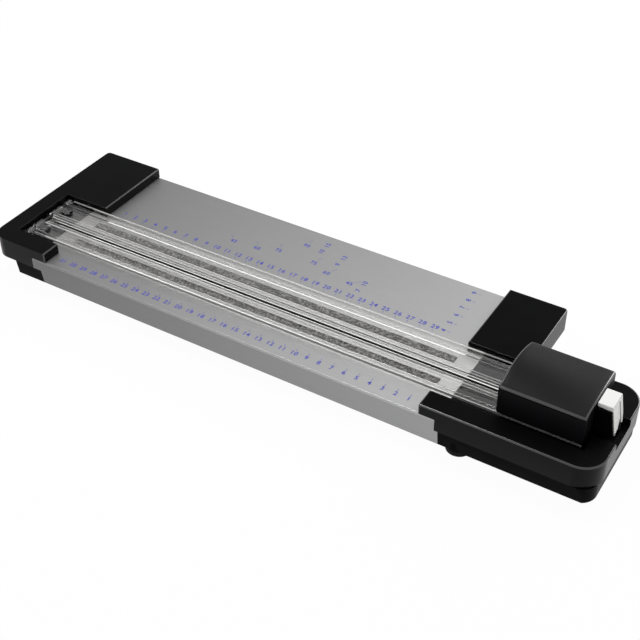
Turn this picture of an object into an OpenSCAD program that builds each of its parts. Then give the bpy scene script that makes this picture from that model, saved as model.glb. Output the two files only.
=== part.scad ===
// Rotary paper trimmer with a hinged clear rail and a sliding cutting head.
// The origin is on the table under the middle of the trimmer, X runs along the rail, Z is up.

/* [Overall] */
// Length of the left end cap, from its end to the visible deck
left_cap_len = 54; // [50:0.5:70]
// Visible length of the deck between the end caps
deck_len = 321.5; // [220:0.5:460]
// Length of the right end cap with the parking platform
right_cap_len = 123; // [118:0.5:150]
// Depth from front to back
depth = 143; // [120:0.5:220]
// Height of the deck above the table
deck_h = 27.5; // [25:0.5:34]
// Distance of the cutting line from the front
cut_inset = 45.1; // [43:0.1:60]

/* [Bed] */
// Thickness of the deck
deck_t = 2; // [1.6:0.1:2.6]
// Thickness of the bed's side walls and lips
bed_wall = 2; // [1.5:0.1:2.5]
// Height of the upright band of the side walls
band_h = 9.5; // [7:0.5:12]
// How far the lower band leans in
lean = 1.5; // [0.5:0.1:3]
// Width of the lips at the bottom of the bed
lip_w = 8; // [6:0.5:10]
// Chamfer along the deck's long edges
deck_chamfer = 1; // [0.4:0.1:1.4]
// Depth of the ribs under the deck
rib_h = 6; // [3:0.5:8]
// Thickness of the ribs under the deck
rib_t = 1.8; // [1:0.1:3]
// Spacing of the ribs under the deck
rib_pitch = 27; // [20:0.5:32]
// Length of the deck under the left cap
tuck_left = 13.5; // [10:0.5:15]
// Length of the deck under the right cap
tuck_right = 12.2; // [10:0.1:15]
// Length by which the lower band is cut back at the left
band_cut = 7.5; // [3:0.5:9]
// Length by which the lower band is longer at the right
band_run = 2.8; // [1:0.1:4]

/* [Mat and grip strips] */
// Width of the cutting mat strip
mat_w = 5.5; // [3:0.1:6]
// Shift of the mat's middle behind the cutting line
mat_shift = 0.7; // [0:0.1:1]
// Thickness of the cutting mat strip
mat_t = 1; // [0.6:0.1:1.2]
// Width of a grip strip
grip_w = 6; // [4:0.1:7]
// Thickness of a grip strip
grip_t = 0.7; // [0.3:0.05:0.8]
// Distance from the cutting line to the middle of the front grip strip
grip_front = 11.6; // [10:0.1:13]
// Distance from the cutting line to the middle of the rear grip strip
grip_back = 14.2; // [12:0.1:15]
// Gap between the grip strips and the end caps
grip_end = 2; // [1:0.5:8]

/* [End caps] */
// Height of the caps above the deck
cap_rise = 8; // [7:0.5:10]
// Wall thickness of the caps
cap_wall = 2.5; // [2:0.1:3]
// Plan radius of the left cap's front corner
left_corner = 13; // [8:0.5:16]
// Plan radius of the platform's outer corners
right_corner = 17; // [12:0.5:20]
// Plan radius of the caps' rear corners
rear_corner = 3; // [2.6:0.1:6]
// Depth of the parking platform
platform_depth = 88; // [84:0.5:100]
// Length of the right cap's rear plate
plate_len = 45.5; // [40:0.5:60]
// Inset of the lower skirt at the outer ends of the bed
skirt_inset = 22; // [16:0.5:24]
// Inset of the lower skirt under the platform
platform_inset = 1.5; // [1:0.1:4]
// Radius of the lower skirt under the platform
skirt_corner = 12; // [8:0.5:15]

/* [Rail channel and finger notch] */
// Distance from the front to the rail channel
channel_front = 16; // [14:0.5:17]
// Width of the rail channel
channel_w = 58; // [56:0.5:64]
// Inset of the left recess from the cap's end
recess_inset = 14; // [11:0.5:15]
// Depth of the left recess's floor below the deck
recess_drop = 3; // [2.5:0.5:4]
// Inset of the channel's end from the platform's right edge
channel_inset = 15.5; // [14:0.5:16]
// Distance from the front to the finger notch
notch_front = 31; // [29:0.5:33]
// Width of the finger notch
notch_w = 26; // [22:0.5:30]
// Height of the notch's sill above the deck
notch_sill = 2.5; // [2:0.1:4]
// Thickness of the rim under the sill
notch_rim = 4; // [3:0.1:4.5]

/* [Rail] */
// Gap for paper between the deck and the rail
paper_gap = 1; // [0.9:0.05:1.5]
// Reach of the rail in front of the cutting line
rail_front = 20.6; // [19:0.1:22]
// Reach of the rail behind the cutting line
rail_back = 26.7; // [24:0.1:28]
// Thickness of the rail's webs
web_t = 1.5; // [1.2:0.1:2]
// Thickness of the rail's lips
lip_t = 1.8; // [1.2:0.1:2.4]
// Height of the rail's lips
lip_h = 4.4; // [4:0.1:5]
// Height of the guide beads
bead_h = 4; // [3.6:0.1:4.4]
// Reach of the slot in front of the cutting line
slot_front = 5; // [4.4:0.1:5.2]
// Reach of the slot behind the cutting line
slot_back = 1.6; // [1.4:0.1:2.2]
// Width of the front guide bead
bead_front_w = 3.1; // [2.6:0.1:4]
// Width of the rear guide bead
bead_back_w = 4.8; // [3:0.1:5]
// Width of the line groove on top of the rear guide bead
line_w = 1; // [0.6:0.1:1.2]
// Depth of the guide grooves in the beads
groove_d = 1.2; // [1:0.1:1.5]
// Height of the guide grooves
groove_h = 1.6; // [1.4:0.1:1.8]
// Height of the guide grooves' lower edge above the rail's underside
groove_z = 1.2; // [1:0.1:1.4]
// Distance from the cutting line to the stiffening ridge
ridge_y = 20.2; // [17:0.1:21]
// Width of the stiffening ridge
ridge_w = 2; // [1:0.1:2.5]
// Height of the stiffening ridge above the rail's underside
ridge_h = 2.8; // [2.2:0.1:3.6]

/* [Hinge] */
// Distance of the hinge pin from the left end
hinge_inset = 17.4; // [17.1:0.1:18.5]
// Radius of the hinge pin
hinge_pin_r = 1.2; // [0.9:0.1:1.4]
// Radius of the knuckles round the pin
knuckle_r = 2.8; // [2.4:0.1:2.9]
// Distance from the pin to the end of the rail's profile
hinge_nose = 5; // [4.6:0.1:6]
// Length of the hinge block's tongues on the rail
tongue_len = 7; // [4.6:0.1:8]
// Thickness of the tongues
tongue_t = 2; // [1.6:0.1:2.4]

/* [End block and latch] */
// Length of the end block's post along the rail
post_len = 7.5; // [7:0.1:8]
// Width of the end block's post
post_w = 17; // [15:0.5:19]
// Height of the end block above the deck
post_h = 23.4; // [21:0.1:24]
// Thickness of the post's cheek in front of the lever
cheek_t = 1.5; // [1.2:0.1:2]
// Distance from the cutting line back to the post's front face
post_front = 6.1; // [4:0.1:7]
// Length of the prongs under the head
prong_len = 5.6; // [4:0.1:6]
// Width of a prong
prong_w = 7; // [5:0.5:8]
// Height of the latch pin above the deck
latch_z = 22; // [20:0.1:22.4]
// Radius of the latch pin
latch_pin_r = 1.5; // [1:0.1:1.7]
// Distance from the post's left face to the latch pin
latch_x = 4; // [3.4:0.1:4.4]
// Width of the latch lever
lever_w = 16; // [14:0.5:17]
// Length of the latch lever's top
lever_top = 10.2; // [9.6:0.1:11]
// Height of the latch lever above the deck
lever_h = 28.3; // [28.2:0.1:29.5]
// Thickness of the latch lever's top
lever_top_t = 3.1; // [3:0.1:3.8]
// Height of the legs' lower ends above the deck
leg_z = 7.6; // [6.7:0.1:8]
// How far the legs lean out at their lower ends
leg_lean = 3.7; // [3.5:0.1:4.2]
// Thickness of the legs at the top
leg_t = 2.4; // [1.8:0.1:2.6]
// Thickness of the legs at their lower ends
leg_tip_t = 1.1; // [0.8:0.1:1.4]
// Width of the slot between the legs
leg_slot = 2; // [1.6:0.1:2.6]
// Distance from the lever's front to the slot
leg_split = 10.5; // [8:0.1:11]
// Thickness of the catch plate
catch_t = 1.2; // [1:0.1:1.3]
// Height of the catch's ledge above the deck
catch_h = 5.4; // [5:0.1:5.6]
// Length of the catch's ledge
ledge_len = 1.5; // [1.2:0.1:1.6]
// Width of the catch's ledge
catch_w = 6; // [4:0.5:8]
// Width of the catch's foot
foot_w = 12; // [10:0.5:12]
// Radius of the catch screws' heads
catch_head_r = 1.8; // [1.5:0.1:1.9]

/* [Carriage] */
// Thickness of the carriage plate
plate_t = 3.5; // [3:0.1:4]
// Gap between the rail's lips and the carriage plate
plate_gap = 0.6; // [0.4:0.1:0.8]
// Length of a glide pad
pad_len = 11.5; // [8:0.5:13]
// Distance of the keels from the carriage plate's ends
keel_inset = 4; // [3:0.5:6]
// Distance of the keels from the blade's window
keel_gap = 1; // [0.5:0.1:3]
// Travel of the head when it is pressed
press_travel = 3; // [2:0.1:3.2]
// Radius of the screw sleeves on the carriage plate
sleeve_r = 4; // [3.4:0.1:4.2]
// Height of the screw sleeves above the plate
sleeve_h = 3; // [2:0.1:3.4]
// Thickness of the press springs' wire ring
spring_t = 1; // [0.6:0.1:1.2]

/* [Cutting head] */
// Length of the cutting head
head_len = 59; // [57:0.5:62]
// Distance of the parked head from the right end
park_inset = 19; // [18:0.1:20]
// Reach of the head in front of the cutting line
head_front = 23.8; // [23.4:0.1:25]
// Reach of the head behind the cutting line
head_back = 28.3; // [28.1:0.1:28.5]
// Wall thickness of the head cover
head_wall = 2; // [1.6:0.1:2.2]
// Height of the cover's lower edges above the deck
skirt_z = 6.3; // [6:0.1:7.5]
// Height of the cover's upper edges above the deck
head_edge = 28.3; // [28.1:0.1:30]
// Rise of the crown at the cover's left end
crown_left = 5.2; // [3:0.1:7]
// Rise of the crown at the cover's right end
crown_right = 0.9; // [0.5:0.1:3]
// Rounding of the cover's upper edges
head_round = 1.5; // [1:0.1:2]
// Distance of the guide screws from the head's ends
guide_inset = 10.5; // [10:0.1:11.5]
// Radius of the guide screws' shoulders
guide_r = 2; // [1.6:0.1:2.2]
// Radius of the guide screws' threaded ends
guide_thread_r = 1.5; // [1:0.1:1.6]
// Radius of the guide screws' heads
guide_head_r = 3; // [2.6:0.1:3.1]
// Height of the guide screws' heads
guide_head_h = 1.6; // [1.2:0.1:1.6]
// Length of the guide screws' thread in the cover
guide_thread = 6; // [4:0.5:8]
// Distance from the cutting line to the front guide screws
guide_front = 13.5; // [13:0.1:14]
// Distance from the cutting line to the rear guide screws
guide_back = 12.9; // [12.5:0.1:13.3]
// Radius of the cover's bosses
boss_r = 5.5; // [5.3:0.1:5.6]
// Height of the lower ends of the bosses above the deck
boss_z = 17; // [16:0.1:18]

/* [Blade] */
// Radius of the rotary blade
blade_r = 10.5; // [9.5:0.1:10.6]
// Thickness of the rotary blade
blade_t = 0.8; // [0.5:0.1:0.9]
// Width of the ground edge
grind = 1.2; // [0.8:0.1:2]
// Radius of the blade's bore
blade_bore_r = 4; // [3:0.1:4.4]
// Radius of the hub's flange
hub_r = 5.5; // [5:0.1:6]
// Thickness of the hub's flanges
hub_flange = 0.4; // [0.3:0.05:0.5]
// Radius of the blade's axle
axle_r = 1.5; // [1:0.1:1.8]
// Thickness of the blade holder's arms
arm_t = 2.5; // [2:0.1:2.8]
// Length of the arms along the rail
arm_len = 8; // [6:0.5:9]
// Length of the blade holder's bridge
bridge_len = 21; // [19:0.5:23]
// Thickness of the blade holder's bridge
bridge_t = 1.5; // [1.2:0.1:2]

/* [Feet and screws] */
// Height of the rubber feet
foot_h = 5.8; // [5:0.1:8]
// Radius of a rubber foot
rubber_r = 9; // [6:0.5:9]
// Distance of the left feet from the front and the back
left_foot_inset = 16.5; // [15:0.1:18]
// Distance of the right feet from the front and the back
right_foot_inset = 10.5; // [10.5:0.1:12]
// Distance of the left feet from the bed's end
left_foot_x = 6; // [4:0.5:6]
// Distance of the right feet from the bed's end
right_foot_x = 11.5; // [10.5:0.5:14]
// Radius of the small screws' shanks
screw_r = 1.25; // [1:0.05:1.4]
// Radius of the small screws' heads
screw_head_r = 2.3; // [2:0.1:2.4]
// Height of the small screws' heads
screw_head_h = 1.1; // [0.8:0.1:1.2]
// Radius of the large screws' shanks
big_screw_r = 1.5; // [1.2:0.1:1.7]
// Radius of the large screws' heads
big_head_r = 2.8; // [2.4:0.1:3]
// Height of the large screws' heads
big_head_h = 1.8; // [1.2:0.1:2]

/* [Clearances] */
// Radial clearance of a shaft that turns or slides in its bore
run_clear = 0.05; // [0.03:0.01:0.09]
// Clearance between bodies that move past each other
move_clear = 0.3; // [0.3:0.05:0.4]
// Clearance between the parked head and the end block
park_clear = 0.5; // [0.4:0.1:0.8]
// Clearance of the clear rail's fitted pieces
fit_clear = 0.1; // [0.05:0.01:0.2]

/* [Hidden] */
$fn = 48;

// Overrun of every cut past the face it opens
over = 1;
// Thickness of the thin slices that the head's shell is stretched over
slice = 0.2;
// Points along the head's crown
crown_points = 16;
// Depth of a screw's socket as a share of its head
socket_share = 0.6;
// Width of a screw's socket as a share of its head
socket_width_share = 0.5;

// Length and width of the caps' plugs inside the bed, and depth of their screws
plug_len = 15;
plug_w = 13;
plug_bore_h = 9;
// Distance of a plug's screw from the plug's end
plug_screw_inset = 4.5;
// Height and wall of the sockets for the feet, and depth of their bores
foot_socket_h = 6;
foot_socket_wall = 1;
foot_bore_h = 5;
// Chamfer of a foot, and depth of its screw's recess
foot_chamfer = 1;
foot_sink = 3;
// Distance of the line groove from the slot, and its depth
line_inset = 2.2;
line_d = 0.7;
// Fine groove in the front lip's outer face: height above the underside, width and depth
lip_line_z = 2;
lip_line_w = 0.6;
lip_line_d = 0.4;
// Webs left at the ends of the rail's slot
slot_end_left = 3;
slot_end_right = 3;
// Hinge block: radius of its pegs, width of its tongues, length of its nose bar and walls of its pockets
peg_r = 1.25;
tongue_w = 6.5;
nose_bar = 2.4;
// Start and end of each knuckle as shares of the rail's width
knuckle_shares = [[-0.065, 0.06], [0.13, 0.31], [0.54, 0.78], [0.87, 1]];
// Length of the rail that is hidden under the parked head's right wall
end_tuck = 1;
// Step of the prongs below the rail's lips
prong_step = 0.2;
// Width, side clearance and depth below the pin of the lever's ear
ear_w = 3;
ear_clear = 0.15;
ear_drop = 3;
// Room beside the ear for the spring, the spring's width and its thickness
spring_room = 2.4;
latch_spring_w = 2;
latch_spring_t = 0.8;
// Step from the lever's outer face back to the cheek's edge
cheek_step = 0.4;
// Shares of the lever's width and of its legs' height where the legs' tapers start and end
front_tip_share = 0.5;
taper_share = 0.3;
rear_tip_share = 0.5;
// Hook: depth behind the lever's face, thickness, height of the barb and its drop below the ledge
hook_recess = 0.6;
hook_t = 1;
barb_h = 1.7;
barb_drop = 0.1;
// Carriage plate: window's gap to the blade, its reach behind the cutting line, plate's insets in the head
window_gap = 2.5;
window_back = 4.1;
plate_end = 3.5;
plate_side = 0.9;
// Inset of the glide pads on the rail's beads
pad_side = 0.4;
// Gap over a guide screw's head, where the plate stops it
guide_gap = 0.2;
// Margin of the head's pad around the blade holder
holder_margin = 1;
// Blade holder: gap beside the hub, gap over the blade, arms' lower ends, screws' places and thread
arm_gap = 0.2;
bridge_gap = 1.2;
arm_end_r = 3.5;
holder_screw_x = 7.5;
holder_thread = 3;
// Thickness of the blade's rim
edge_t = 0.1;

// Long direction: ends of the caps, the deck and the bed
overall_len = left_cap_len + deck_len + right_cap_len;
x_left = -overall_len / 2;
x_right = overall_len / 2;
x_deck0 = x_left + left_cap_len;
x_deck1 = x_right - right_cap_len;
x_bed0 = x_deck0 - tuck_left;
x_bed1 = x_deck1 + tuck_right;
x_plate1 = x_deck1 + plate_len;

// Across: front, back and cutting line
y_front = -depth / 2;
y_back = depth / 2;
y_cut = y_front + cut_inset;
y_mat = y_cut + mat_shift;
y_platform = y_front + platform_depth;
y_channel0 = y_front + channel_front;
y_channel1 = y_channel0 + channel_w;
y_notch0 = y_front + notch_front;
y_notch1 = y_notch0 + notch_w;

// Heights of the base
z_cap = deck_h + cap_rise;
z_band = deck_h - band_h;
z_base = foot_h;
z_recess = deck_h - recess_drop;

// Rail
z_rail = deck_h + paper_gap;
z_web = z_rail + web_t;
z_lip = z_rail + lip_h;
z_bead = z_rail + bead_h;
y_rail0 = y_cut - rail_front;
y_rail1 = y_cut + rail_back;
y_slot0 = y_cut - slot_front;
y_slot1 = y_cut + slot_back;
y_bead0 = y_slot0 - bead_front_w;
y_bead1 = y_slot1 + bead_back_w;
x_pin = x_left + hinge_inset;
x_rail0 = x_pin + hinge_nose;
z_pin = z_lip - knuckle_r;
// Middles of the front and rear webs, where the tongues and prongs lie
y_web0 = (y_rail0 + lip_t + y_bead0) / 2;
y_web1 = (y_bead1 + y_cut + ridge_y) / 2;
x_peg = x_rail0 + tongue_len / 2;

// Parked head, and the end block beside it
x_head1 = x_right - park_inset;
x_head0 = x_head1 - head_len;
x_mid = (x_head0 + x_head1) / 2;
y_head0 = y_cut - head_front;
y_head1 = y_cut + head_back;
x_rail1 = x_head1 - end_tuck;
x_prong_screw = x_rail1 - prong_len / 2;
z_prong = z_lip - prong_step;
x_post0 = x_head1 + park_clear;
x_post1 = x_post0 + post_len;
y_post0 = y_cut - post_front;
y_post1 = y_post0 + post_w;
z_post = deck_h + post_h;

// Latch lever and catch
x_latch = x_post0 + latch_x;
z_latch = deck_h + latch_z;
z_lever = deck_h + lever_h;
z_leg = deck_h + leg_z;
y_lever0 = y_post0 + (post_w - lever_w) / 2;
y_lever1 = y_lever0 + lever_w;
x_lever0 = x_post0 - (park_clear - move_clear) / 2;
x_lever1 = x_lever0 + lever_top;
y_hook0 = y_lever0 + leg_split;
y_hook1 = y_hook0 + leg_slot;
y_catch = (y_hook0 + y_hook1) / 2;
x_catch = x_post1 + (move_clear + fit_clear);
z_catch = deck_h + catch_h;

// Carriage and head
z_plate = z_lip + plate_gap;
z_plate1 = z_plate + plate_t;
z_sleeve = z_plate1 + sleeve_h;
z_boss = deck_h + boss_z;
z_edge = deck_h + head_edge;
z_skirt = deck_h + skirt_z;
z_end_wall = z_lip + press_travel + move_clear + fit_clear;
z_axle = deck_h + move_clear + press_travel + blade_r;
z_bridge = z_axle + blade_r + bridge_gap + bridge_t;
y_guide0 = y_cut - guide_front;
y_guide1 = y_cut + guide_back;
guide_x = head_len / 2 - guide_inset;
guide_places = [for (sx = [-1, 1], y = [y_guide0, y_guide1]) [x_mid + sx * guide_x, y]];

// Feet stand under the caps' lower skirts
foot_places = [for (s = [-1, 1], p = [[x_bed0 - left_foot_x, left_foot_inset],
    [x_bed1 + band_run + right_foot_x, right_foot_inset]]) [p[0], s * (y_back - p[1])]];

// Height of the head's roof above a place, on the outside
function crown_at(x) = crown_left + (crown_right - crown_left) * (x - x_head0) / head_len;
function arch_share(y) = 1 - pow((2 * y - y_head0 - y_head1) / (y_head1 - y_head0), 2);
function roof(x, y) = z_edge + crown_at(x) * arch_share(y);

// Extrudes an outline in Y and Z along X
module along_x(x0, x1) {
    translate([x0, 0, 0]) rotate([90, 0, 90]) linear_extrude(x1 - x0) children();
}

// Extrudes an outline in X and Z along Y
module along_y(y0, y1) {
    translate([0, y1, 0]) rotate([90, 0, 0]) linear_extrude(y1 - y0) children();
}

// Box between two corners
module box(a, b) {
    translate(a) cube(b - a);
}

// Round bar along Y
module bar_y(x, z, y0, y1, r) {
    translate([x, y1, z]) rotate([90, 0, 0]) cylinder(h = y1 - y0, r = r);
}

// Rectangle with one radius at each corner: front left, front right, back right, back left
module corner_rect(x0, y0, x1, y1, radii) {
    difference() {
        translate([x0, y0]) square([x1 - x0, y1 - y0]);
        corner_cut(x0, y0, -1, -1, radii[0]);
        corner_cut(x1, y0, 1, -1, radii[1]);
        corner_cut(x1, y1, 1, 1, radii[2]);
        corner_cut(x0, y1, -1, 1, radii[3]);
    }
}

module corner_cut(x, y, sx, sy, r) {
    if (r > 0) {
        cx = x - sx * r;
        cy = y - sy * r;
        difference() {
            translate([min(cx, x + sx * over), min(cy, y + sy * over)]) square(r + over);
            translate([cx, cy]) circle(r);
        }
    }
}

// Screw with its head below and its shank pointing up, with a hexagon socket
module screw(r, len, head_r, head_h) {
    cylinder(h = len, r = r);
    difference() {
        translate([0, 0, -head_h]) cylinder(h = head_h, r = head_r);
        translate([0, 0, -head_h - over])
            cylinder(h = over + head_h * socket_share, r = head_r * socket_width_share, $fn = 6);
    }
}

// Screw with its head above and its shank pointing down
module screw_down(r, len, head_r, head_h) {
    rotate([180, 0, 0]) screw(r, len, head_r, head_h);
}

// Front half of the bed's section in Y and Z
bed_half = [[y_front + deck_chamfer, deck_h], [y_front, deck_h - deck_chamfer], [y_front, z_band],
    [y_front + lean, z_base], [y_front + lean + lip_w, z_base], [y_front + lean + lip_w, z_base + bed_wall],
    [y_front + lean + bed_wall, z_base + bed_wall], [y_front + bed_wall, z_band],
    [y_front + bed_wall, deck_h - deck_t]];

// Section of the bed, with its ribs and the mat's groove
module bed_profile() {
    difference() {
        union() {
            polygon(concat(bed_half, [for (i = [len(bed_half) - 1:-1:0]) [-bed_half[i][0], bed_half[i][1]]]));
            for (i = [0:2]) translate([y_cut + i * rib_pitch - rib_t / 2, deck_h - deck_t - rib_h])
                square([rib_t, rib_h + deck_t - mat_t]);
        }
        translate([y_mat - mat_w / 2, deck_h - mat_t]) square([mat_w, mat_t + over]);
    }
}

module bed_extrusion() {
    color("silver") difference() {
        along_x(x_bed0, x_bed1 + band_run) bed_profile();
        box([x_bed1, y_front - over, z_band], [x_bed1 + band_run + over, y_back + over, deck_h + over]);
        box([x_bed0 - over, y_front - over, z_base - over], [x_bed0 + band_cut, y_back + over, z_band]);
        for (p = plug_screws()) translate([p[0], p[1], z_base - over])
            cylinder(h = bed_wall + 2 * over, r = big_screw_r + fit_clear);
    }
}

// Places of the screws that hold the plugs
function plug_screws() = [for (
    x = [x_bed0 + plug_len - plug_screw_inset, x_bed1 - plug_len + plug_screw_inset],
    y = [y_front + lean + (lip_w + bed_wall) / 2, y_back - lean - (lip_w + bed_wall) / 2]) [x, y]];

// Two plugs inside the bed, from x0 to x1
module plugs(x0, x1) {
    y0 = y_front + bed_wall + lean + move_clear;
    for (m = [0, 1]) mirror([0, m, 0])
        box([x0, y0, z_base + bed_wall], [x1, y0 + plug_w, deck_h - deck_t - fit_clear]);
}

module plug_bores() {
    for (p = plug_screws()) translate([p[0], p[1], z_base])
        cylinder(h = plug_bore_h, r = big_screw_r);
}

// Lower skirt's section in Y and Z, drawn in from the outside by e
module skirt_section(e, y1) {
    z0 = z_base - over * e / cap_wall;
    polygon([[y_front + e, z_band + over], [y_front + e, z_band], [y_front + lean + e, z0],
        [y1 - lean - e, z0], [y1 - e, z_band], [y1 - e, z_band + over]]);
}

// Socket that a rubber foot is screwed to
module foot_socket(p) {
    translate([p[0], p[1], z_base]) cylinder(h = foot_socket_h, r = rubber_r + foot_socket_wall);
}

module foot_bore(p) {
    translate([p[0], p[1], z_base - over]) cylinder(h = foot_bore_h + over, r = big_screw_r);
}

// Outline of the left cap, drawn in by e
module left_outline(e) {
    corner_rect(x_left + e, y_front + e, x_deck0 - e, y_back - e,
        [left_corner - e, 0, 0, max(rear_corner - e, 0)]);
}

module left_end_cap() {
    x_skirt = x_left + skirt_inset;
    x_skirt1 = x_bed0 + band_cut;
    color("#202124") difference() {
        union() {
            difference() {
                translate([0, 0, z_band]) linear_extrude(z_cap - z_band) left_outline(0);
                translate([0, 0, z_band - over]) linear_extrude(z_cap - cap_wall - z_band + over)
                    left_outline(cap_wall);
                box([x_bed0, y_front - over, z_band - over], [x_deck0 + over, y_back + over, deck_h]);
            }
            difference() {
                along_x(x_skirt, x_skirt1) intersection() {
                    skirt_section(0, y_back);
                    translate([y_front, z_base]) square([depth, z_band - z_base]);
                }
                along_x(x_skirt + cap_wall, x_skirt1 + over) skirt_section(cap_wall, y_back);
            }
            // shelf that joins the lower skirt to the upper shell
            difference() {
                box([x_skirt, y_front + cap_wall, z_band], [x_bed0, y_back - cap_wall, z_band + cap_wall]);
                box([x_skirt + cap_wall, y_front + 2 * cap_wall, z_band - over],
                    [x_bed0 + over, y_back - 2 * cap_wall, z_band + cap_wall + over]);
            }
            // end wall that runs through from the skirt into the shelf
            box([x_skirt, y_front + 2 * cap_wall, z_band - cap_wall],
                [x_skirt + cap_wall, y_back - 2 * cap_wall, z_band + cap_wall]);
            // tub of the rail recess
            box([x_left + recess_inset - cap_wall, y_channel0 - cap_wall, z_recess - cap_wall],
                [x_bed0, y_channel1 + cap_wall, z_cap]);
            for (y = [y_channel0 - cap_wall, y_channel1])
                box([x_bed0, y, deck_h], [x_deck0, y + cap_wall, z_cap]);
            // solid front tongue on the deck
            box([x_bed0, y_front, deck_h], [x_deck0, y_channel0, z_cap]);
            // wall behind the bed's end, with the plugs on it
            box([x_bed0 - cap_wall, y_front + lean + cap_wall, z_base + bed_wall],
                [x_bed0, y_back - lean - cap_wall, z_cap - cap_wall]);
            plugs(x_bed0, x_bed0 + plug_len);
            for (p = foot_places) if (p[0] < 0) foot_socket(p);
        }
        box([x_left + recess_inset, y_channel0, z_recess], [x_bed0, y_channel1, z_cap + over]);
        box([x_bed0 - over, y_channel0, deck_h], [x_deck0 + over, y_channel1, z_cap + over]);
        bar_y(x_pin, z_pin, y_channel0 - cap_wall, y_channel1 + cap_wall, hinge_pin_r);
        plug_bores();
        for (p = foot_places) foot_bore(p);
    }
}

// Outline of the platform and of the rear plate, drawn in by e
module right_outline(e) {
    corner_rect(x_deck1 + e, y_front + e, x_right - e, y_platform - e,
        [0, right_corner - e, right_corner - e, 0]);
    corner_rect(x_deck1 + e, y_channel1 + e, x_plate1 - e, y_back - e,
        [0, 0, max(rear_corner - e, 0), 0]);
}

// Outline of the lower skirt under the platform and the plate, drawn in by e
module right_skirt_outline(e) {
    x0 = x_bed1 + band_run;
    r = skirt_corner - e;
    corner_rect(x0 - (e > 0 ? over : 0), y_front - over, x_right - platform_inset - e,
        y_platform - platform_inset - e, [0, 0, r, 0]);
    corner_rect(x0 - (e > 0 ? over : 0), y_channel1 + e, x0 + skirt_inset - e, y_back + over, [0, 0, 0, 0]);
}

// Lower skirt of the right cap as a solid, drawn in by e
module right_skirt(e) {
    cut = e > 0 ? over : 0;
    intersection() {
        translate([0, 0, z_base - cut]) linear_extrude(z_band - z_base + 2 * cut) right_skirt_outline(e);
        along_x(x_bed1 - over, x_right) skirt_section(e, y_back);
        linear_extrude(z_cap) corner_rect(x_bed1 - over, y_front + e,
            x_right - platform_inset - e, y_back - e, [0, skirt_corner - e, 0, 0]);
    }
}

module right_end_cap() {
    x_pocket = x_right - notch_rim;
    x_channel = x_right - channel_inset;
    x_skirt1 = x_bed1 + band_run + skirt_inset;
    color("#1c1d20") difference() {
        union() {
            difference() {
                union() {
                    difference() {
                        translate([0, 0, z_band]) linear_extrude(z_cap - z_band) right_outline(0);
                        translate([0, 0, z_band - over]) linear_extrude(z_cap - cap_wall - z_band + over)
                            right_outline(cap_wall);
                    }
                    // tub of the rail channel and of its end pocket
                    box([x_deck1, y_channel0 - cap_wall, deck_h - cap_wall],
                        [x_channel + cap_wall, y_channel1 + cap_wall, z_cap]);
                    box([x_channel, y_notch0 - cap_wall, deck_h - cap_wall],
                        [x_right - cap_wall, y_notch1 + cap_wall, z_cap]);
                    // solid front tongue on the deck
                    box([x_deck1, y_front, deck_h], [x_bed1, y_channel0, z_cap]);
                }
                box([x_deck1 - over, y_front - over, z_band - over], [x_bed1, y_back + over, deck_h]);
            }
            difference() {
                right_skirt(0);
                right_skirt(cap_wall);
            }
            // shelf between the rear skirt and the rear plate
            box([x_skirt1 - cap_wall, y_platform - cap_wall, z_band],
                [x_plate1 - cap_wall, y_back - cap_wall, z_band + cap_wall]);
            // wall behind the bed's end, with the plugs on it
            box([x_bed1, y_front + lean + cap_wall, z_base + bed_wall],
                [x_bed1 + cap_wall, y_back - lean - cap_wall, z_cap - cap_wall]);
            plugs(x_bed1 - plug_len, x_bed1);
            for (p = foot_places) if (p[0] > 0) foot_socket(p);
        }
        box([x_deck1 - over, y_channel0, deck_h], [x_channel, y_channel1, z_cap + over]);
        box([x_channel - over, y_notch0, deck_h], [x_pocket, y_notch1, z_cap + over]);
        box([x_pocket - over, y_notch0, deck_h + notch_sill], [x_right + over, y_notch1, z_cap + over]);
        for (p = catch_screw_places()) translate([p[0], p[1], deck_h - cap_wall - over])
            cylinder(h = cap_wall + 2 * over, r = screw_r);
        plug_bores();
        for (p = foot_places) foot_bore(p);
    }
}

module end_cap_screws() {
    color("#8a8d90") for (p = plug_screws()) translate([p[0], p[1], z_base])
        screw(big_screw_r, plug_bore_h, big_head_r, big_head_h);
}

module cutting_mat() {
    color("#1a1a1a") box([x_bed0, y_mat - mat_w / 2, deck_h - mat_t], [x_bed1, y_mat + mat_w / 2, deck_h]);
}

// Grip strip on the deck, with its middle at y
module grip_strip(y) {
    color("#5a5a58") box([x_deck0 + grip_end, y - grip_w / 2, deck_h],
        [x_deck1 - grip_end, y + grip_w / 2, deck_h + grip_t]);
}

module front_grip_strip() {
    grip_strip(y_cut - grip_front);
}

module rear_grip_strip() {
    grip_strip(y_cut + grip_back);
}

module rubber_feet() {
    color("#161616") for (p = foot_places) translate([p[0], p[1], 0]) difference() {
        union() {
            translate([0, 0, foot_chamfer]) cylinder(h = z_base - foot_chamfer, r = rubber_r);
            cylinder(h = foot_chamfer, r1 = rubber_r - foot_chamfer, r2 = rubber_r);
        }
        translate([0, 0, -over]) cylinder(h = foot_sink + over, r = big_head_r + fit_clear);
        translate([0, 0, -over]) cylinder(h = z_base + 2 * over, r = big_screw_r);
    }
}

module foot_screws() {
    color("#8a8d90") for (p = foot_places) translate([p[0], p[1], foot_sink])
        screw(big_screw_r, z_base - foot_sink + foot_bore_h - over, big_head_r, big_head_h);
}

module hinge_pin() {
    color("#2a2b2d") bar_y(x_pin, z_pin, y_channel0 - cap_wall, y_channel1 + cap_wall, hinge_pin_r);
}

// Places of the catch plate's screws
function catch_screw_places() = [for (s = [-1, 1])
    [x_catch + catch_t + catch_head_r + fit_clear, y_catch + s * (foot_w / 2 - catch_head_r - fit_clear)]];

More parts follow.
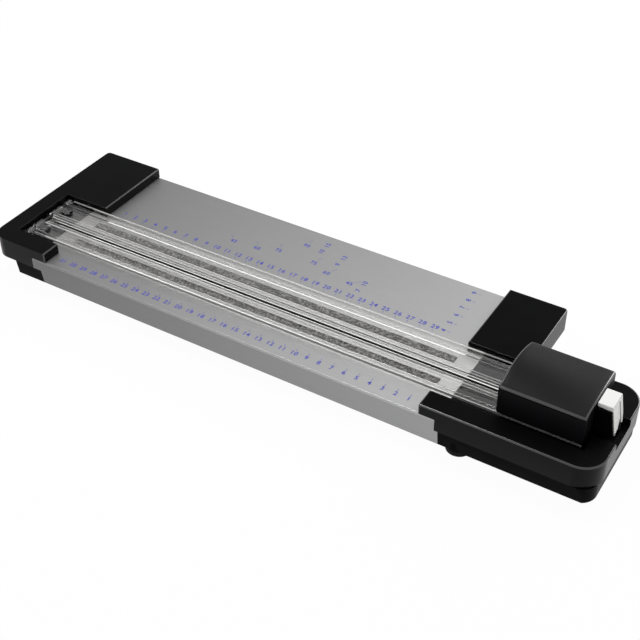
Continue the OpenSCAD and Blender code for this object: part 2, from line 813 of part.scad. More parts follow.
module catch_plate() {
    x_foot = x_catch + catch_t + 2 * catch_head_r + 2 * fit_clear;
    color("#9a9da0") difference() {
        union() {
            box([x_catch, y_catch - catch_w / 2, deck_h],
                [x_catch + catch_t, y_catch + catch_w / 2, z_catch]);
            box([x_catch, y_catch - catch_w / 2, z_catch - catch_t],
                [x_catch + catch_t + ledge_len, y_catch + catch_w / 2, z_catch]);
            box([x_catch, y_catch - foot_w / 2, deck_h], [x_foot, y_catch + foot_w / 2, deck_h + catch_t]);
        }
        for (p = catch_screw_places()) translate([p[0], p[1], deck_h - over])
            cylinder(h = catch_t + 2 * over, r = screw_r);
    }
}

module catch_screws() {
    color("#8a8d90") for (p = catch_screw_places()) translate([p[0], p[1], deck_h + catch_t])
        screw_down(screw_r, catch_t + cap_wall, catch_head_r, screw_head_h);
}

// Profile of the clear rail
module rail_profile() {
    difference() {
        union() {
            translate([y_rail0, z_rail]) square([y_rail1 - y_rail0, web_t]);
            for (y = [y_rail0, y_rail1 - lip_t]) translate([y, z_rail]) square([lip_t, lip_h]);
            translate([y_bead0, z_rail]) square([bead_front_w, bead_h]);
            translate([y_slot1, z_rail]) square([bead_back_w, bead_h]);
            translate([y_cut + ridge_y, z_rail]) square([ridge_w, ridge_h]);
        }
        translate([y_slot0, z_web]) square([y_slot1 - y_slot0, bead_h + over]);
        translate([y_slot0 - groove_d, z_rail + groove_z])
            square([y_slot1 - y_slot0 + 2 * groove_d, groove_h]);
        translate([y_slot1 + line_inset, z_bead - line_d]) square([line_w, line_d + over]);
        translate([y_rail0 - over, z_rail + lip_line_z]) square([lip_line_d + over, lip_line_w]);
    }
}

module clear_rail() {
    color([0.85, 0.88, 0.88, 0.5]) difference() {
        along_x(x_rail0, x_rail1) rail_profile();
        box([x_rail0 + slot_end_left, y_slot0, z_rail - over], [x_rail1 - slot_end_right, y_slot1, z_lip]);
        for (y = [y_web0, y_web1]) {
            translate([x_peg, y, z_rail - over]) cylinder(h = web_t + 2 * over, r = peg_r);
            translate([x_prong_screw, y, z_rail - over]) cylinder(h = web_t + 2 * over, r = screw_r);
        }
    }
}

// Hinge block's knuckle from y0 to y1
module knuckle(y0, y1) {
    bar_y(x_pin, z_pin, y0, y1, knuckle_r);
    box([x_pin, y0, z_rail], [x_rail0, y1, z_web + tongue_t]);
}

module rail_hinge_block() {
    rail_w = y_rail1 - y_rail0;
    color([0.85, 0.88, 0.88, 0.6]) difference() {
        union() {
            box([x_rail0 - nose_bar, y_rail0, z_rail], [x_rail0, y_rail1, z_web]);
            for (k = knuckle_shares) knuckle(y_rail0 + k[0] * rail_w, y_rail0 + k[1] * rail_w);
            for (y = [y_web0, y_web1]) {
                box([x_rail0 - nose_bar, y - tongue_w / 2, z_rail],
                    [x_rail0, y + tongue_w / 2, z_web + tongue_t]);
                box([x_rail0, y - tongue_w / 2, z_web],
                    [x_rail0 + tongue_len, y + tongue_w / 2, z_web + tongue_t]);
                translate([x_peg, y, z_rail]) cylinder(h = web_t + tongue_t, r = peg_r);
            }
        }
        bar_y(x_pin, z_pin, y_channel0, y_channel1, hinge_pin_r + run_clear);
    }
}

module rail_end_block() {
    x_bar = x_right - channel_inset - move_clear - fit_clear;
    y_ear = (y_lever0 + y_lever1) / 2;
    z_roof = z_lever - lever_top_t;
    color("#1c1d20") difference() {
        union() {
            box([x_rail1, y_web0 - prong_w / 2, z_rail], [x_bar, y_web1 + prong_w / 2, z_prong]);
            box([x_post0, y_post0, z_rail], [x_post1, y_post1, z_post]);
            along_y(y_post0 - cheek_t, y_lever0 - move_clear) polygon([[x_post0, z_rail],
                [x_post1, z_rail], [leg_face(z_leg) - cheek_step, z_leg],
                [leg_face(z_roof) - cheek_step, z_roof], [x_post0, z_roof]]);
            for (y = [y_web0, y_web1])
                box([x_rail1 - prong_len, y - prong_w / 2, z_web], [x_rail1, y + prong_w / 2, z_prong]);
        }
        box([x_post0 - over, y_ear - ear_w / 2 - ear_clear, z_latch - latch_pin_r - ear_drop - ear_clear],
            [x_post1 + over, y_ear + ear_w / 2 + spring_room, z_post + over]);
        bar_y(x_latch, z_latch, y_post0 - over, y_post1 + over, latch_pin_r);
        for (y = [y_web0, y_web1]) translate([x_prong_screw, y, z_web - over])
            cylinder(h = lip_h + over, r = screw_r);
        for (y = [y_web0, y_web1]) translate([x_prong_screw, y, z_prong - screw_head_h])
            cylinder(h = lip_h, r = screw_head_r + fit_clear);
    }
}

module end_block_screws() {
    color("#8a8d90") for (y = [y_web0, y_web1]) translate([x_prong_screw, y, z_prong - screw_head_h])
        screw_down(screw_r, z_prong - screw_head_h - z_rail, screw_head_r, screw_head_h);
}

module latch_pin() {
    color("#b0b3b6") bar_y(x_latch, z_latch, y_post0 + move_clear, y_post1 - move_clear, latch_pin_r);
}

module latch_spring() {
    y0 = (y_lever0 + y_lever1) / 2 + ear_w / 2 + ear_clear;
    color("#a8abae") difference() {
        bar_y(x_latch, z_latch, y0, y0 + latch_spring_w, latch_pin_r + latch_spring_t);
        bar_y(x_latch, z_latch, y0 - over, y0 + latch_spring_w + over, latch_pin_r);
    }
}

// Lean of the lever's outer face, along X for each unit of height
leg_slope = leg_lean / (lever_h - leg_z);
function leg_face(z) = x_lever1 + (z_lever - z) * leg_slope;

module latch_lever() {
    y_ear = (y_lever0 + y_lever1) / 2;
    z_roof = z_lever - lever_top_t;
    z_taper = z_leg + (z_roof - z_leg) * taper_share;
    rear_w = y_lever1 - y_hook1;
    color("#f0f0ee") difference() {
        union() {
            box([x_lever0, y_lever0, z_roof], [x_lever1, y_lever1, z_lever]);
            intersection() {
                along_y(y_lever0, y_lever1) polygon([[x_lever1, z_lever], [leg_face(z_leg), z_leg],
                    [leg_face(z_leg) - leg_tip_t, z_leg], [x_lever1 - leg_t, z_roof],
                    [x_lever1 - leg_t, z_lever]]);
                along_x(x_lever0, x_right) union() {
                    translate([y_lever0, z_roof]) square([lever_w, lever_top_t]);
                    polygon([[y_lever0, z_roof], [y_hook0, z_roof], [y_hook0, z_taper],
                        [y_lever0 + leg_split * front_tip_share, z_leg], [y_lever0 + leg_tip_t, z_leg],
                        [y_lever0, z_leg + leg_tip_t]]);
                    polygon([[y_hook1, z_roof], [y_lever1, z_roof], [y_lever1, z_taper],
                        [y_hook1 + rear_w * rear_tip_share, z_leg], [y_hook1, z_leg]]);
                }
            }
            box([x_latch - latch_x + fit_clear, y_ear - ear_w / 2, z_latch - latch_pin_r - ear_drop / 2],
                [x_latch + latch_x - latch_pin_r, y_ear + ear_w / 2, z_roof]);
        }
        bar_y(x_latch, z_latch, y_lever0 - over, y_lever1 + over, latch_pin_r + run_clear);
    }
}

module latch_hook() {
    z_roof = z_lever - lever_top_t;
    z_barb1 = z_catch - catch_t - barb_drop;
    z_barb0 = z_barb1 - barb_h;
    x_barb = x_catch + catch_t + ledge_len + move_clear + fit_clear;
    color("#3a3c3e") along_y(y_hook0, y_hook1) polygon([[leg_face(z_roof) - hook_recess, z_roof],
        [leg_face(z_barb0) - hook_recess, z_barb0], [x_barb, z_barb0], [x_barb, z_barb1],
        [leg_face(z_barb1) - hook_recess - hook_t, z_barb1],
        [leg_face(z_roof) - hook_recess - hook_t, z_roof]]);
}

module carriage_runner() {
    y0 = y_head0 + head_wall + plate_side;
    y1 = y_head1 - head_wall - plate_side;
    window_x = blade_r + window_gap;
    keel0 = window_x + keel_gap;
    keel1 = head_len / 2 - plate_end - keel_inset;
    color("#26272a") difference() {
        union() {
            box([x_head0 + plate_end, y0, z_plate], [x_head1 - plate_end, y1, z_plate1]);
            for (p = guide_places) translate([p[0], p[1], z_plate1]) cylinder(h = sleeve_h, r = sleeve_r);
            for (s = [-1, 1]) {
                x = x_mid + s * (keel0 + keel1) / 2 - (keel1 - keel0) / 2;
                z = z_rail + groove_z + move_clear;
                box([x, y_slot0 + move_clear, z], [x + keel1 - keel0, y_slot1 - move_clear, z_plate]);
                box([x, y_slot0 - groove_d + move_clear, z], [x + keel1 - keel0,
                    y_slot1 + groove_d - move_clear, z + groove_h - 2 * move_clear]);
            }
        }
        box([x_mid - window_x, y_slot0 - move_clear, z_plate - over],
            [x_mid + window_x, y_cut + window_back, z_plate1 + over]);
        for (p = guide_places) translate([p[0], p[1], z_plate - over]) {
            cylinder(h = z_sleeve - z_plate + 2 * over, r = guide_r + run_clear);
            cylinder(h = over + guide_head_h + 2 * guide_gap, r = guide_head_r + move_clear);
        }
    }
}

module glide_pads() {
    color("#e8e6de") for (s = [-1, 1]) {
        x0 = x_mid + s * (head_len / 2 - plate_end - pad_len / 2 - pad_side) - pad_len / 2;
        for (y = [[y_bead0, y_slot0], [y_slot1, y_bead1]])
            box([x0, y[0] + pad_side, z_bead + run_clear], [x0 + pad_len, y[1] - pad_side, z_plate]);
    }
}

module press_springs() {
    r0 = sleeve_r + move_clear;
    color("#a8abae") for (p = guide_places) translate([p[0], p[1], z_plate1]) difference() {
        cylinder(h = z_boss - z_plate1, r = r0 + spring_t);
        translate([0, 0, -over]) cylinder(h = z_boss - z_plate1 + 2 * over, r = r0);
    }
}

// Section of the head in Y and Z, drawn in by e, with its lower edge at z0
module head_section(e, crown, z0) {
    y0 = y_head0 + e;
    y1 = y_head1 - e;
    arc = [for (i = [0:crown_points]) let (t = i / crown_points)
        [y1 + (y0 - y1) * t, z_edge - e + crown * (1 - pow(2 * t - 1, 2))]];
    polygon(concat([[y0, z0], [y1, z0]], arc));
}

// The head's crowned block, drawn in by e
module head_block(e, z0) {
    hull() for (inset = [0, head_round]) {
        along_x(x_head0 + e + inset, x_head0 + e + inset + slice)
            head_section(e + (head_round - inset) / 2, crown_left, z0);
        along_x(x_head1 - e - inset - slice, x_head1 - e - inset)
            head_section(e + (head_round - inset) / 2, crown_right, z0);
    }
}

module head_cover() {
    x_pad0 = x_mid - bridge_len / 2 - holder_margin;
    x_pad1 = x_mid + bridge_len / 2 + holder_margin;
    y_arm0 = y_cut - blade_t / 2 - hub_flange - arm_gap - arm_t;
    y_arm1 = y_cut + blade_t / 2 + hub_flange + arm_gap + arm_t;
    color("#1c1d20") difference() {
        union() {
            difference() {
                head_block(0, z_skirt);
                head_block(head_wall, z_skirt - over);
            }
            for (p = guide_places) translate([p[0], p[1], z_boss])
                cylinder(h = roof(p[0], p[1]) - head_wall / 2 - z_boss, r = boss_r);
            box([x_pad0, y_arm0 - holder_margin, z_bridge], [x_pad1, y_arm1 + holder_margin,
                roof(x_mid + bridge_len / 2, y_arm0) - head_wall / 2]);
        }
        for (p = guide_places) translate([p[0], p[1], z_boss - over])
            cylinder(h = guide_thread + over, r = guide_thread_r);
        box([x_head0 - over, y_head0 + head_wall, z_skirt - over],
            [x_head1 + over, y_rail1 + move_clear, z_end_wall]);
        for (s = [-1, 1]) translate([x_mid + s * holder_screw_x, y_cut, z_bridge - over])
            cylinder(h = holder_thread + over, r = screw_r);
    }
}

module guide_screws() {
    z_head = z_plate + guide_head_h + guide_gap;
    color("#a8abae") for (p = guide_places) translate([p[0], p[1], 0]) {
        translate([0, 0, z_head]) screw(guide_r, z_boss - z_head, guide_head_r, guide_head_h);
        translate([0, 0, z_boss]) cylinder(h = guide_thread, r = guide_thread_r);
    }
}

module blade_holder() {
    y_arm0 = y_cut - blade_t / 2 - hub_flange - arm_gap - arm_t;
    y_arm1 = y_cut + blade_t / 2 + hub_flange + arm_gap + arm_t;
    color("#8f9498") difference() {
        union() {
            box([x_mid - bridge_len / 2, y_arm0, z_bridge - bridge_t],
                [x_mid + bridge_len / 2, y_arm1, z_bridge]);
            for (y = [y_arm0, y_arm1 - arm_t]) {
                box([x_mid - arm_len / 2, y, z_axle], [x_mid + arm_len / 2, y + arm_t, z_bridge - bridge_t]);
                bar_y(x_mid, z_axle, y, y + arm_t, arm_end_r);
            }
        }
        bar_y(x_mid, z_axle, y_arm0 - over, y_arm1 + over, axle_r);
        for (s = [-1, 1]) translate([x_mid + s * holder_screw_x, y_cut, z_bridge - bridge_t - over])
            cylinder(h = bridge_t + 2 * over, r = screw_r);
    }
}

module holder_screws() {
    color("#8a8d90") for (s = [-1, 1]) translate([x_mid + s * holder_screw_x, y_cut, z_bridge - bridge_t])
        screw(screw_r, bridge_t + holder_thread, screw_head_r, screw_head_h);
}

module blade_axle() {
    y_arm = blade_t / 2 + hub_flange + arm_gap + arm_t;
    color("#b0b3b6") bar_y(x_mid, z_axle, y_cut - y_arm, y_cut + y_arm, axle_r);
}

module rotary_blade() {
    color("#c8cbce") translate([x_mid, y_cut, z_axle]) rotate([90, 0, 0]) rotate_extrude()
        polygon([[blade_bore_r, -blade_t / 2], [blade_r - grind, -blade_t / 2], [blade_r, -edge_t / 2],
            [blade_r, edge_t / 2], [blade_r - grind, blade_t / 2], [blade_bore_r, blade_t / 2]]);
}

module blade_hub() {
    y0 = y_cut - blade_t / 2;
    y1 = y_cut + blade_t / 2;
    color("#e8e6de") difference() {
        union() {
            bar_y(x_mid, z_axle, y0, y1, blade_bore_r);
            bar_y(x_mid, z_axle, y0 - hub_flange, y0, hub_r);
            bar_y(x_mid, z_axle, y1, y1 + hub_flange, hub_r);
        }
        bar_y(x_mid, z_axle, y0 - hub_flange - over, y1 + hub_flange + over, axle_r + run_clear);
    }
}

bed_extrusion();
left_end_cap();
right_end_cap();
end_cap_screws();
cutting_mat();
front_grip_strip();
rear_grip_strip();
rubber_feet();
foot_screws();
hinge_pin();
catch_plate();
catch_screws();
clear_rail();
rail_hinge_block();
rail_end_block();
end_block_screws();
latch_pin();
latch_spring();
latch_lever();
latch_hook();
carriage_runner();
glide_pads();
press_springs();
head_cover();
guide_screws();
blade_holder();
holder_screws();
blade_axle();
rotary_blade();
blade_hub();
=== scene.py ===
import math
import bmesh
import bpy
from mathutils import Matrix, Quaternion, Vector


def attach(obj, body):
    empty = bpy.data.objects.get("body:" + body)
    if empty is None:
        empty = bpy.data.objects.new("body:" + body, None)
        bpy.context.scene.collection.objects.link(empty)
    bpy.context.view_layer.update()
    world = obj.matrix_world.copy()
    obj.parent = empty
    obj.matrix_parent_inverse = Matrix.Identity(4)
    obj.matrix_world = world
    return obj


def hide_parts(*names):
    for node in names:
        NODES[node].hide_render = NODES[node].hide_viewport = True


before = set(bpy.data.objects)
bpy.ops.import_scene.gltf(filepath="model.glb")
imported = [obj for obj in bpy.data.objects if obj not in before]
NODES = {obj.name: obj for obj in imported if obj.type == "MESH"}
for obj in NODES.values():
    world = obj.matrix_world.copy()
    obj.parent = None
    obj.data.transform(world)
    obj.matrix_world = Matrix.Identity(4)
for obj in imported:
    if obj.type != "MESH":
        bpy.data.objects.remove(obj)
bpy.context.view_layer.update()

SCENE = bpy.context.scene
MM = 0.001

# the front scale's zero on the deck, in the row frame in mm
ZERO = (124.75, -61.5, 27.5)


def at(x, y, z):
    """A point given from the front scale's zero, in mm, in the row frame in metres."""
    return Vector(((x + ZERO[0]) * MM, (y + ZERO[1]) * MM, (z + ZERO[2]) * MM))


def add(name, data):
    """A new object in the scene."""
    obj = bpy.data.objects.new(name, data)
    SCENE.collection.objects.link(obj)
    return obj


# ---------------------------------------------------------------- materials
# most of a noise's values lie between these
NOISE_LOW, NOISE_HIGH = 0.3, 0.7
# heights of the surface grain, in metres
GRAIN_DEPTH = 0.00005
LINE_DEPTH = 0.00003
GRIT_DEPTH = 0.0001
# stretch of a noise into lines along X or Y, or into layers across Z
ALONG_X, ALONG_Y, LAYERS_Z = (1, 30, 30), (30, 1, 30), (1, 1, 30)


class Nodes:
    """Short names for building a node tree."""

    def __init__(self, tree):
        self.tree = tree

    def new(self, kind, **values):
        node = self.tree.nodes.new(kind)
        for key, value in values.items():
            setattr(node, key, value)
        return node

    def link(self, a, b):
        self.tree.links.new(a, b)

    def calc(self, operation, *values):
        """The result of a math node; each value is a float or a socket."""
        node = self.new("ShaderNodeMath", operation=operation)
        for socket, value in zip(node.inputs, values):
            if isinstance(value, float):
                socket.default_value = value
            else:
                self.link(value, socket)
        return node.outputs[0]

    def mix(self, fac, a, b):
        """Shader a where fac is 0 and b where it is 1."""
        node = self.new("ShaderNodeMixShader")
        self.link(fac, node.inputs["Fac"])
        self.link(a, node.inputs[1])
        self.link(b, node.inputs[2])
        return node.outputs["Shader"]

    def seen(self):
        """1 for rays from the camera and for those through gloss or clear parts, else 0."""
        path = self.new("ShaderNodeLightPath")
        direct = self.calc("MAXIMUM", path.outputs["Is Camera Ray"], path.outputs["Is Glossy Ray"])
        return self.calc("MAXIMUM", direct, path.outputs["Is Transmission Ray"])


class Material(Nodes):
    """A material's nodes around its Principled shader."""

    def __init__(self, name):
        self.mat = bpy.data.materials.new(name)
        self.mat.use_nodes = True
        super().__init__(self.mat.node_tree)
        self.bsdf = self.tree.nodes["Principled BSDF"]
        self.out = self.tree.nodes["Material Output"]

    def set(self, **values):
        for key, value in values.items():
            self.bsdf.inputs[key.replace("_", " ")].default_value = value

    def feed(self, name, socket):
        """Links a socket to an input of the Principled shader."""
        self.link(socket, self.bsdf.inputs[name])

    def axis(self, name):
        """One object coordinate, in metres."""
        coords = self.new("ShaderNodeTexCoord")
        split = self.new("ShaderNodeSeparateXYZ")
        self.link(coords.outputs["Object"], split.inputs["Vector"])
        return split.outputs[name]

    def noise(self, scale, detail=3.0, rough=0.5, stretch=(1, 1, 1)):
        coords = self.new("ShaderNodeTexCoord")
        mapping = self.new("ShaderNodeMapping")
        mapping.inputs["Scale"].default_value = stretch
        self.link(coords.outputs["Object"], mapping.inputs["Vector"])
        noise = self.new("ShaderNodeTexNoise")
        noise.inputs["Scale"].default_value = scale
        noise.inputs["Detail"].default_value = detail
        noise.inputs["Roughness"].default_value = rough
        self.link(mapping.outputs["Vector"], noise.inputs["Vector"])
        return noise.outputs["Fac"]

    def ramp(self, fac, a, b, low=NOISE_LOW, high=NOISE_HIGH):
        """Colours a to b as fac goes from low to high."""
        ramp = self.new("ShaderNodeValToRGB")
        for stop, position, colour in zip(ramp.color_ramp.elements, (low, high), (a, b)):
            stop.position = position
            stop.color = (*colour, 1)
        self.link(fac, ramp.inputs["Fac"])
        return ramp.outputs["Color"]

    def spread(self, fac, a, b, low=NOISE_LOW, high=NOISE_HIGH):
        """Value a to b as fac goes from low to high."""
        node = self.new("ShaderNodeMapRange")
        for name, value in (("From Min", low), ("From Max", high), ("To Min", a), ("To Max", b)):
            node.inputs[name].default_value = value
        self.link(fac, node.inputs["Value"])
        return node.outputs["Result"]

    def blend(self, fac, a, b):
        """The colour of socket a where fac is 0 and of socket b where it is 1."""
        node = self.new("ShaderNodeMix", data_type="RGBA")
        self.link(fac, node.inputs["Factor"])
        self.link(a, node.inputs[6])
        self.link(b, node.inputs[7])
        return node.outputs[2]

    def bump(self, fac, strength, distance):
        node = self.new("ShaderNodeBump")
        node.inputs["Strength"].default_value = strength
        node.inputs["Distance"].default_value = distance
        self.link(fac, node.inputs["Height"])
        self.feed("Normal", node.outputs["Normal"])


def grey(v):
    return (v, v, v)


def plastic(name, low, high, rough, grain=0.05, bump=0.05, specular=0.5, scale=900.0):
    """Moulded plastic or rubber with a fine grain."""
    m = Material(name)
    m.feed("Base Color", m.ramp(m.noise(60.0, detail=2.0), low, high))
    fine = m.noise(scale, rough=0.6)
    m.feed("Roughness", m.spread(fine, rough - grain, rough + grain))
    m.bump(fine, bump, GRAIN_DEPTH)
    m.set(Specular_IOR_Level=specular)
    return m.mat


def metal(name, low, high, rough, stretch=(1, 1, 1)):
    """Drawn or turned metal with fine lines."""
    m = Material(name)
    lines = m.noise(400.0, detail=4.0, rough=0.6, stretch=stretch)
    m.feed("Base Color", m.ramp(lines, low, high))
    m.feed("Roughness", m.spread(lines, rough - 0.05, rough + 0.05))
    m.bump(lines, 0.05, LINE_DEPTH)
    m.set(Metallic=1.0)
    return m.mat


# painted shade and sheen: the deck's base colour goes from dark to light between these places
# along X, in metres
PAINTED_SHADE_X, PAINTED_SHEEN_X = -0.2, 0.14


def anodised():
    """Satin aluminium of the bed: fine drawn lines, and a base colour painted darker towards the
    left end as shade and lighter towards the right as sheen.
    """
    m = Material("deck_aluminium")
    lines = m.noise(60.0, detail=4.0, rough=0.6, stretch=ALONG_X)
    # painted shade and sheen: the base colour is blended from dark at the left end to light at the
    # right
    along = m.spread(m.axis("X"), 0.0, 1.0, low=PAINTED_SHADE_X, high=PAINTED_SHEEN_X)
    dark = m.ramp(lines, (0.165, 0.163, 0.163), (0.185, 0.183, 0.183))
    light = m.ramp(lines, (0.335, 0.335, 0.337), (0.355, 0.355, 0.357))
    m.feed("Base Color", m.blend(along, dark, light))
    m.feed("Roughness", m.spread(lines, 0.40, 0.48))
    m.bump(lines, 0.04, LINE_DEPTH)
    m.set(Metallic=0.55, Specular_IOR_Level=0.4)
    return m.mat


# painted glints: pale bands along the clear rail's edges as (y, half width, z, half height), in mm
PAINTED_GLINT_BANDS = (
    (-47.0, 0.15, 29.6, 0.9),
    (-34.2, 0.32, 32.5, 0.1),
    (-22.9, 0.32, 32.5, 0.1),
    (-20.3, 0.32, 32.5, 0.1),
    (-0.05, 0.38, 32.9, 0.1),
)
PAINTED_GLINT_SHARE = 0.4
PAINTED_GLINT_COLOUR = (0.86, 0.85, 0.83, 1)
RAIL_IOR = 1.45
BLOCK_IOR = 1.49
STREAK_SHADE = 0.97


def dull_mask(m):
    """The share of painted glint: PAINTED_GLINT_SHARE on the clear rail's edges, else 0."""
    y, z = m.axis("Y"), m.axis("Z")
    bands = []
    for y_mid, y_half, z_mid, z_half in PAINTED_GLINT_BANDS:
        across = m.calc("COMPARE", y, y_mid * MM, y_half * MM)
        height = m.calc("COMPARE", z, z_mid * MM, z_half * MM)
        bands.append(m.calc("MULTIPLY", across, height))
    total = bands[0]
    for band in bands[1:]:
        total = m.calc("MAXIMUM", total, band)
    return m.calc("MULTIPLY", total, PAINTED_GLINT_SHARE)


def clear(name, tint, rough, ior, painted_glints=False):
    """Clear plastic. Lamps shine through it, so that it doesn't darken what lies behind."""
    m = Material(name)
    streaks = m.noise(40.0, stretch=(1, 40, 40))
    m.feed("Base Color", m.ramp(streaks, tuple(v * STREAK_SHADE for v in tint), tint))
    m.set(Roughness=rough, Transmission_Weight=1.0, IOR=ior)
    body = m.bsdf.outputs["BSDF"]
    # painted glints: a pale diffuse shader mixed in along the rail's edges
    if painted_glints:
        glint_paint = m.new("ShaderNodeBsdfDiffuse")
        glint_paint.inputs["Color"].default_value = PAINTED_GLINT_COLOUR
        body = m.mix(dull_mask(m), body, glint_paint.outputs["BSDF"])
    path = m.new("ShaderNodeLightPath")
    lit = m.calc("MAXIMUM", path.outputs["Is Shadow Ray"], path.outputs["Is Diffuse Ray"])
    through = m.new("ShaderNodeBsdfTransparent")
    through.inputs["Color"].default_value = (*tint, 1)
    m.link(m.mix(lit, body, through.outputs["BSDF"]), m.out.inputs["Surface"])
    return m.mat


def speckled():
    """Grip strip: dark foam with pale grit."""
    m = Material("grip_rubber")
    grit = m.noise(520.0, rough=0.8)
    colour = m.ramp(grit, (0.0020, 0.0019, 0.0018), (0.24, 0.235, 0.22), low=0.48, high=0.60)
    m.feed("Base Color", colour)
    m.bump(grit, 0.6, GRIT_DEPTH)
    m.set(Roughness=0.85, Specular_IOR_Level=0.1)
    return m.mat


def print_ink():
    """Blue ink of the printed scales, slightly uneven."""
    m = Material("scale_ink")
    cover = m.noise(2500.0, detail=2.0)
    m.feed("Base Color", m.ramp(cover, (0.040, 0.045, 0.36), (0.075, 0.080, 0.46)))
    m.set(Roughness=0.6, Specular_IOR_Level=0.2)
    return m.mat


DECK = anodised()
BLACK = plastic("black_plastic", grey(0.0020), (0.0028, 0.0029, 0.0032), 0.34,
                bump=0.06, specular=0.02)
HEAD = plastic("head_plastic", grey(0.0036), (0.0048, 0.0044, 0.0058), 0.42,
               bump=0.06, specular=0.09)
# painted highlight: a shinier, lighter copy of the black plastic for the rims that catch the light
RIM_HIGHLIGHT = plastic("black_rim_highlight", grey(0.0034), (0.0046, 0.0046, 0.0050), 0.16,
              grain=0.03, bump=0.03, specular=0.8)
# painted reflection: a glossier copy of the black plastic for the caps' upper walls; the low skirt
# keeps the darker one as painted shade
WALL = plastic("black_wall", grey(0.0022), (0.0030, 0.0032, 0.0036), 0.24,
               grain=0.04, specular=0.09)
WHITE = plastic("white_plastic", (0.80, 0.80, 0.78), (0.84, 0.84, 0.82), 0.4)
SLIDE = plastic("slide_plastic", (0.70, 0.69, 0.65), (0.76, 0.75, 0.71), 0.5)
HOOK = plastic("dark_steel", grey(0.008), grey(0.012), 0.35, specular=0.3)
MAT = plastic("mat_rubber", grey(0.003), grey(0.006), 0.7,
              grain=0.1, bump=0.3, specular=0.05, scale=700.0)
FOOT = plastic("foot_rubber", grey(0.006), grey(0.010), 0.7,
               grain=0.1, bump=0.3, specular=0.1, scale=500.0)
# painted highlight: a much lighter metal for the bed's bevels, so that its edges show bright lines
EDGE_HIGHLIGHT = metal("painted_edge_highlight", grey(0.62), grey(0.72), 0.3, ALONG_X)
ZINC = metal("zinc_steel", grey(0.45), grey(0.56), 0.3)
PIN = metal("pin_steel", grey(0.5), grey(0.6), 0.22, ALONG_Y)
SPRING = metal("spring_steel", grey(0.35), grey(0.45), 0.3, LAYERS_Z)
HOLDER = metal("holder_steel", grey(0.4), grey(0.5), 0.35, LAYERS_Z)
BLADE = metal("blade_steel", grey(0.5), grey(0.62), 0.2, ALONG_Y)
# the rail gets painted glints along its edges
CLEAR = clear("clear_plastic", (0.985, 0.985, 0.975), 0.0, RAIL_IOR, painted_glints=True)
CLEAR_BLOCK = clear("clear_block", (0.99, 0.99, 0.98), 0.03, BLOCK_IOR)
GRIP = speckled()
INK = print_ink()

FINISH = {
    "bed_extrusion": DECK, "left_end_cap": BLACK, "right_end_cap": BLACK,
    "end_cap_screws": ZINC, "cutting_mat": MAT, "front_grip_strip": GRIP,
    "rear_grip_strip": GRIP, "rubber_feet": FOOT, "foot_screws": ZINC, "hinge_pin": HOOK,
    "catch_plate": ZINC, "catch_screws": ZINC, "clear_rail": CLEAR,
    "rail_hinge_block": CLEAR_BLOCK, "rail_end_block": BLACK, "end_block_screws": ZINC,
    "latch_pin": PIN, "latch_spring": SPRING, "latch_lever": WHITE, "latch_hook": HOOK,
    "carriage_runner": BLACK, "glide_pads": SLIDE, "press_springs": SPRING,
    "head_cover": HEAD, "guide_screws": ZINC, "blade_holder": HOLDER,
    "holder_screws": ZINC, "blade_axle": PIN, "rotary_blade": BLADE, "blade_hub": SLIDE,
}

# ---------------------------------------------------------------- bevels on CAD nodes
# bevel widths in mm
EDGES = {
    "rail_end_block": 0.3, "rail_hinge_block": 0.25, "bed_extrusion": 0.55, "catch_plate": 0.15,
}
# points closer than WELD metres are joined, and faces flatter than FLAT too
WELD = 1e-6
FLAT = math.radians(0.5)
BEVEL_FROM = math.radians(35)
BEVEL_STEPS = 3
NORMAL_WEIGHT = 80


def round_edges(obj, width):
    """Welds and rounds a CAD node's edges with modifiers."""
    weld = obj.modifiers.new("weld", "WELD")
    weld.merge_threshold = WELD
    flat = obj.modifiers.new("flat", "DECIMATE")
    flat.decimate_type = "DISSOLVE"
    flat.angle_limit = FLAT
    bevel = obj.modifiers.new("bevel", "BEVEL")
    bevel.width = width * MM
    bevel.segments = BEVEL_STEPS
    bevel.limit_method = "ANGLE"
    bevel.angle_limit = BEVEL_FROM
    normals = obj.modifiers.new("normals", "WEIGHTED_NORMAL")
    normals.weight = NORMAL_WEIGHT
    # the bed's bevels take the lighter metal as a painted highlight
    if obj == NODES["bed_extrusion"]:
        obj.data.materials.append(EDGE_HIGHLIGHT)
        bevel.material = 1


for node, material in FINISH.items():
    cad = NODES[node]
    cad.data.materials.clear()
    cad.data.materials.append(material)
    if node in EDGES:
        round_edges(cad, EDGES[node])

# ---------------------------------------------------------------- shells with rounded rims
# edges sharper than SHARP are rounded; afterwards those under SMOOTH are shaded smooth
SHARP = math.radians(28)
SMOOTH = math.radians(40)
# a bevel's material index: that of the faces beside it, or the rim's, which is a painted highlight
PLAIN, SHINY = -1, 1
WALL_INDEX = 2
# walls above this height, in mm, get a glossier copy of the black plastic as painted reflection,
# and the low skirt below stays dark as painted shade; a wall's normal rises less than WALL_RISE
WALL_Z = 18
WALL_RISE = 0.3
# heights and places on the caps and the lever, in mm
CAP_TOP = 35.5
CAP_LOW = 16
LEVER_TOP = 51.5
CHANNEL_X, CHANNEL_Y = 233.9, (-55.6, 2.6)
POCKET_X, POCKET_Y = 233.6, (-40.6, -14.4)
RECESS_X, RECESS_Y = (-235.4, -195), (-55.6, 2.6)
OUTER_CURVE_X = -236
RIGHT_CORNER = (126.25, -71.5)
LEFT_CORNER = (-195.25, -71.5)


